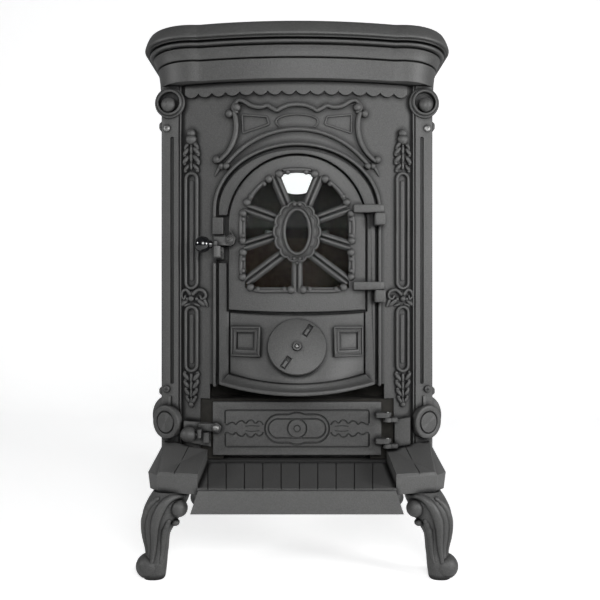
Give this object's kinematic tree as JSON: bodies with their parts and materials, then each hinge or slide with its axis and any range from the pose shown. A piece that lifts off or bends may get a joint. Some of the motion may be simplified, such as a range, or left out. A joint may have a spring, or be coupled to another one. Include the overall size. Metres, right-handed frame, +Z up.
{
  "type": "potbelly stove",
  "caption": "Cast-iron stove with a bowed front, an arched grille door, a bulged air panel with a spinner, an ash door over a ribbed hearth, and cabriole legs.",
  "frame": {"origin": "centre of the overall box's footprint, on the floor under the feet", "axes": "+X to the right seen from the front, +Y to the back, +Z up"},
  "size_m": [0.502, 0.4298, 0.8295],
  "materials": {
    "cast_iron": "matte grey stove paint on a sand-cast surface",
    "dark_iron": "matte black",
    "zinc": "zinc plated",
    "rope": "woven glass-fibre rope",
    "glass": "clear",
    "black_knob": "gloss",
    "firebrick": "rough fired clay",
    "steel": "plain sheet steel"
  },
  "bodies": {
    "root": {"top_plate": "cast_iron", "cornice": "cast_iron", "front_panel": "cast_iron", "pilaster_right": "cast_iron", "pilaster_left": "cast_iron", "pilaster_screw_right_lower": "zinc", "pilaster_screw_left_lower": "zinc", "pilaster_screw_right_upper": "zinc", "pilaster_screw_left_upper": "zinc", "side_panel_right": "cast_iron", "side_panel_left": "cast_iron", "rear_panel": "cast_iron", "flue_collar": "cast_iron", "base_plate": "cast_iron", "hearth_plate": "cast_iron", "leg_front_left": "cast_iron", "leg_front_right": "cast_iron", "leg_rear_left": "cast_iron", "leg_rear_right": "cast_iron", "leg_bolt_front_left": "zinc", "leg_bolt_front_right": "zinc", "leg_bolt_rear_left": "zinc", "leg_bolt_rear_right": "zinc", "air_panel": "cast_iron", "air_spindle": "zinc", "fire_catch": "cast_iron", "ash_front": "dark_iron", "ash_hinge_bracket": "cast_iron", "ash_keeper": "cast_iron", "ash_pan": "steel", "grate_frame": "dark_iron", "grate": "dark_iron", "brick_rear": "firebrick", "brick_retainer": "dark_iron", "flue_bolt_left": "zinc", "flue_bolt_right": "zinc", "brick_left": "firebrick", "brick_right": "firebrick", "retainer_bolt_left": "zinc", "retainer_bolt_right": "zinc", "door_hinge_pin_lower": "zinc", "door_hinge_pin_upper": "zinc", "ash_hinge_pin_lower": "zinc", "ash_hinge_pin_upper": "zinc"},
    "fire_door": {"fire_door": "cast_iron", "door_seal": "rope", "door_glass": "glass", "glass_clip_left": "steel", "glass_clip_right": "steel", "fire_latch_pivot": "zinc"},
    "fire_latch": {"fire_latch_lever": "cast_iron", "fire_latch_knob": "black_knob"},
    "ash_door": {"ash_door": "cast_iron", "ash_seal": "rope", "ash_latch_pivot": "zinc"},
    "ash_latch": {"ash_latch_lever": "cast_iron", "ash_latch_knob": "cast_iron"},
    "air_hub": {"air_hub": "cast_iron"},
    "air_disc": {"air_disc": "cast_iron"}
  },
  "joints": [
    {"name": "fire_door_swing", "type": "hinge", "parent": "root", "child": "fire_door", "pos_m": [0.1295, -0.1151, 0.5], "axis": [0, 0, 1], "range_deg": [0, 110]},
    {"name": "fire_latch_turn", "type": "hinge", "parent": "fire_door", "child": "fire_latch", "pos_m": [-0.104, -0.11316, 0.4957], "axis": [0, 1, 0], "range_deg": [-12, 50]},
    {"name": "ash_door_swing", "type": "hinge", "parent": "root", "child": "ash_door", "pos_m": [0.143, -0.1031, 0.2], "axis": [0, 0, 1], "range_deg": [0, 90]},
    {"name": "ash_latch_turn", "type": "hinge", "parent": "ash_door", "child": "ash_latch", "pos_m": [-0.128, -0.0975, 0.199], "axis": [0, 1, 0], "range_deg": [-10, 45]},
    {"name": "air_disc_travel", "type": "slide", "parent": "root", "child": "air_hub", "axis": [0, -0.9249, 0.3802], "range_m": [0, 0.008]},
    {"name": "air_disc_spin", "type": "hinge", "parent": "air_hub", "child": "air_disc", "pos_m": [0, -0.13442, 0.328], "axis": [0, -0.9249, 0.3802], "range_deg": [0, 1440]}
  ],
  "couplings": [
    {"joint": "air_disc_travel", "follows": "air_disc_spin", "m_per_rad": 0.000318}
  ]
}
